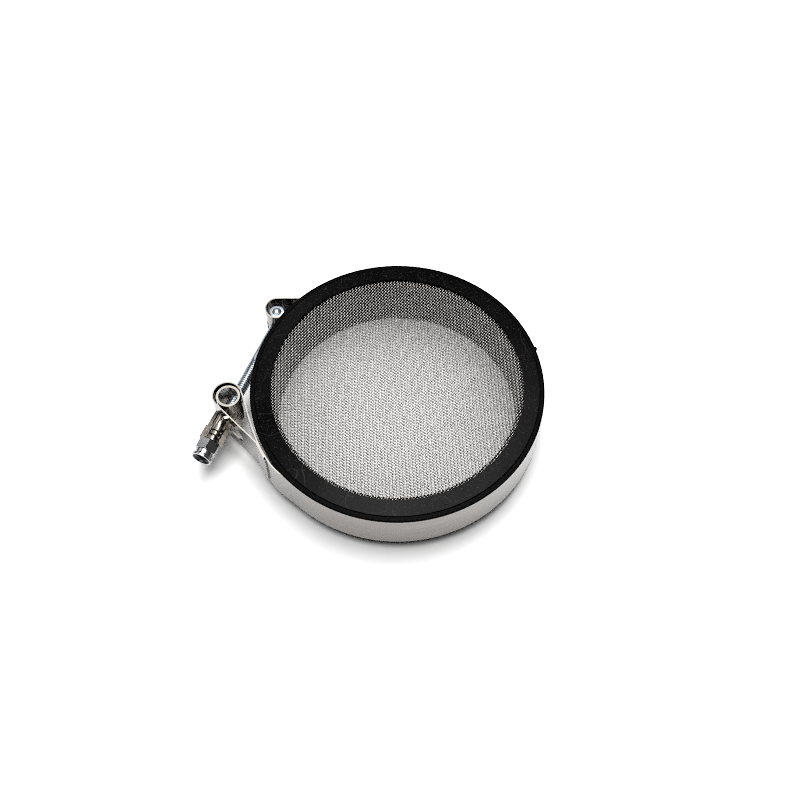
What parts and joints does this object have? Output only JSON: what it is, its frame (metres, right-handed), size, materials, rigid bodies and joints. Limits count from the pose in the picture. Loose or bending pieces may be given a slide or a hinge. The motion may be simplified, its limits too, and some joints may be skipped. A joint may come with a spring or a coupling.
{
  "type": "turbo intake screen",
  "caption": "Round intake screen: woven wire cloth moulded in a rubber collar, held on an inlet pipe by a T-bolt band clamp with a lock nut.",
  "frame": {"origin": "centre of the inlet bore in the plane of the collar's bottom rim", "axes": "+Z along the bore's axis from the pipe side towards the wire cloth; the clamp bolt lies on the -X side, parallel to Y, with its nut towards -Y"},
  "size_m": [0.1616, 0.1508, 0.037],
  "materials": {
    "rubber": "satin black moulded rubber",
    "wire": "bright stainless woven wire",
    "band_steel": "bright rolled stainless strip",
    "zinc": "blue zinc plate",
    "nickel": "bright nickel plate",
    "nylon": "black nylon"
  },
  "bodies": {
    "screen": {"rubber_ring": "rubber", "wire_screen": "wire", "clamp_band": "band_steel", "bridge_strip": "band_steel", "t_bolt": "zinc", "trunnion_tube": "nickel", "nut_saddle": "nickel"},
    "nut": {"lock_nut": "nickel", "nylon_ring": "nylon"}
  },
  "joints": [
    {"name": "nut_spin", "type": "hinge", "parent": "screen", "child": "nut", "pos_m": [-0.0777, -0.0645, 0.0215], "axis": [0, -1, 0], "continuous": true}
  ]
}
